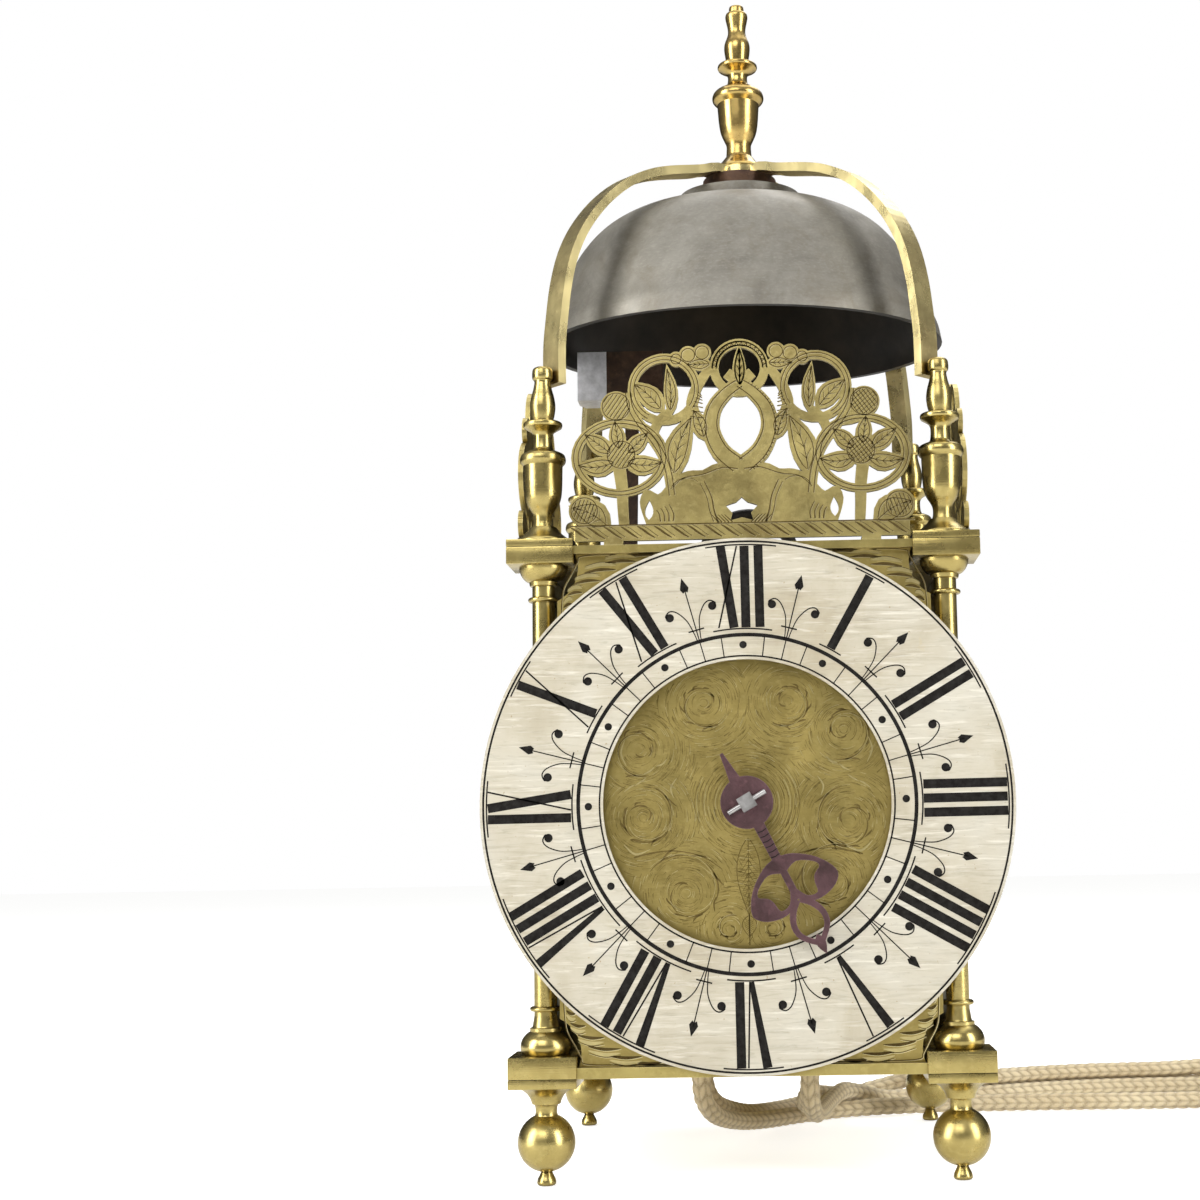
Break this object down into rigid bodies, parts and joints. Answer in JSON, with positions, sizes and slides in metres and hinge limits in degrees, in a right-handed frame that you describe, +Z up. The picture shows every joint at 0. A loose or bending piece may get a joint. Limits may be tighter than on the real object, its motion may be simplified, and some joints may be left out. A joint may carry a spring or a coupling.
{
  "type": "lantern clock",
  "caption": "Weight-driven brass lantern clock with pierced frets, strapped bell, single hand and an endless rope ending in a coil.",
  "frame": {"origin": "on the floor under the middle of the case, in the plane of the feet's lowest points", "axes": "+Z up; -Y is the dial side; +X is to the right as the dial is read; the rope lies to +X and +Y"},
  "size_m": [0.3737, 0.2328, 0.4025],
  "materials": {
    "case_brass": "hand-polished yellow brass",
    "fret_brass": "polished sheet with engraved lines",
    "dial_brass": "engraved and polished sheet",
    "silvered_brass": "worn silvering with black wax",
    "movement_brass": "brushed cast brass",
    "bell_metal": "dull grey bell metal",
    "brown_iron": "browned",
    "dark_iron": "blued and worn",
    "black_iron": "forged, dark",
    "steel": "filed",
    "cotton_rope": "plaited cotton"
  },
  "bodies": {
    "case": {"bottom_plate": "case_brass", "top_plate": "case_brass", "pillar_front_left": "case_brass", "pillar_front_right": "case_brass", "pillar_rear_left": "case_brass", "pillar_rear_right": "case_brass", "foot_front_left": "case_brass", "foot_front_right": "case_brass", "foot_rear_left": "case_brass", "foot_rear_right": "case_brass", "finial_front_left": "case_brass", "finial_front_right": "case_brass", "finial_rear_left": "case_brass", "finial_rear_right": "case_brass", "bell_strap": "case_brass", "strap_pins": "case_brass", "crown_finial": "case_brass", "bell": "bell_metal", "bell_washer": "brown_iron", "front_fret": "fret_brass", "left_fret": "fret_brass", "right_fret": "fret_brass", "dial_plate": "dial_brass", "chapter_ring": "silvered_brass", "ring_feet": "case_brass", "bell_nut": "steel", "fret_screws": "steel", "back_plate": "black_iron", "hanging_hoop": "black_iron", "wall_spurs": "black_iron", "front_bar": "movement_brass", "middle_bar": "movement_brass", "rear_bar": "movement_brass", "anchor_cocks": "movement_brass", "hammer_spring": "black_iron", "rope_on_pulleys": "cotton_rope", "rope_front_lead": "cotton_rope", "rope_rear_lead": "cotton_rope", "rope_right_loop": "cotton_rope", "rope_coil": "cotton_rope"},
    "going_great": {"going_great_wheel": "movement_brass", "going_pulley": "movement_brass"},
    "second": {"second_wheel": "movement_brass"},
    "escape": {"escape_wheel": "movement_brass"},
    "anchor": {"anchor": "black_iron"},
    "hour": {"hour_wheel": "movement_brass", "hour_hand": "dark_iron", "hand_pin": "steel"},
    "strike_great": {"strike_great_wheel": "movement_brass"},
    "strike_pulley": {"strike_pulley": "movement_brass", "strike_click": "black_iron"},
    "hoop": {"hoop_wheel": "movement_brass"},
    "warning": {"warning_wheel": "movement_brass"},
    "fly": {"fly": "movement_brass"},
    "count": {"count_wheel": "movement_brass"},
    "hammer": {"hammer": "black_iron"},
    "lifting": {"lifting_piece": "black_iron"},
    "detent": {"locking_detent": "black_iron"},
    "left_door": {"left_door": "case_brass"},
    "right_door": {"right_door": "case_brass"}
  },
  "joints": [
    {"name": "second_wheel_turn", "type": "hinge", "parent": "case", "child": "second", "pos_m": [0, -0.025, 0.1183], "axis": [0, 1, 0], "continuous": true},
    {"name": "going_great_turn", "type": "hinge", "parent": "case", "child": "going_great", "pos_m": [0, -0.025, 0.0765], "axis": [0, 1, 0], "continuous": true},
    {"name": "escape_wheel_turn", "type": "hinge", "parent": "case", "child": "escape", "pos_m": [0, -0.025, 0.1563], "axis": [0, 1, 0], "continuous": true},
    {"name": "hour_turn", "type": "hinge", "parent": "case", "child": "hour", "pos_m": [0, -0.06, 0.1139], "axis": [0, 1, 0], "continuous": true},
    {"name": "anchor_swing", "type": "hinge", "parent": "case", "child": "anchor", "pos_m": [0, 0, 0.19841], "axis": [0, 1, 0], "range_deg": [-2.5, 2.5]},
    {"name": "hoop_wheel_turn", "type": "hinge", "parent": "case", "child": "hoop", "pos_m": [0, 0.025, 0.1183], "axis": [0, 1, 0], "continuous": true},
    {"name": "strike_great_turn", "type": "hinge", "parent": "case", "child": "strike_great", "pos_m": [0, 0.025, 0.0765], "axis": [0, 1, 0], "continuous": true},
    {"name": "warning_wheel_turn", "type": "hinge", "parent": "case", "child": "warning", "pos_m": [0, 0.025, 0.1489], "axis": [0, 1, 0], "continuous": true},
    {"name": "fly_turn", "type": "hinge", "parent": "case", "child": "fly", "pos_m": [0, 0.035, 0.1699], "axis": [0, 1, 0], "continuous": true},
    {"name": "count_wheel_turn", "type": "hinge", "parent": "case", "child": "count", "pos_m": [0, 0.055, 0.1095], "axis": [0, 1, 0], "continuous": true},
    {"name": "strike_pulley_turn", "type": "hinge", "parent": "strike_great", "child": "strike_pulley", "pos_m": [0, 0.012, 0.0765], "axis": [0, 1, 0], "continuous": true},
    {"name": "hammer_swing", "type": "hinge", "parent": "case", "child": "hammer", "pos_m": [-0.046, 0.025, 0.112], "axis": [0, 1, 0], "range_deg": [0, 8], "stiffness_Nm_per_rad": 0.6, "springref_deg": -5.73},
    {"name": "lifting_swing", "type": "hinge", "parent": "case", "child": "lifting", "pos_m": [-0.044, 0, 0.084], "axis": [0, 1, 0], "range_deg": [-8, 0]},
    {"name": "detent_swing", "type": "hinge", "parent": "case", "child": "detent", "pos_m": [0.044, 0.025, 0.1], "axis": [0, 1, 0], "range_deg": [0, 8]},
    {"name": "left_door_swing", "type": "hinge", "parent": "case", "child": "left_door", "pos_m": [-0.0654, 0.0486, 0.1137], "axis": [0, 0, -1], "range_deg": [0, 100]},
    {"name": "right_door_swing", "type": "hinge", "parent": "case", "child": "right_door", "pos_m": [0.0654, 0.0486, 0.1137], "axis": [0, 0, 1], "range_deg": [0, 100]}
  ],
  "couplings": [
    {"joint": "going_great_turn", "follows": "second_wheel_turn", "ratio": -0.1},
    {"joint": "escape_wheel_turn", "follows": "second_wheel_turn", "ratio": -9},
    {"joint": "hour_turn", "follows": "second_wheel_turn", "ratio": 0.0125},
    {"joint": "strike_great_turn", "follows": "hoop_wheel_turn", "ratio": -0.1},
    {"joint": "warning_wheel_turn", "follows": "hoop_wheel_turn", "ratio": -8},
    {"joint": "fly_turn", "follows": "hoop_wheel_turn", "ratio": 48},
    {"joint": "count_wheel_turn", "follows": "hoop_wheel_turn", "ratio": 0.012821}
  ]
}
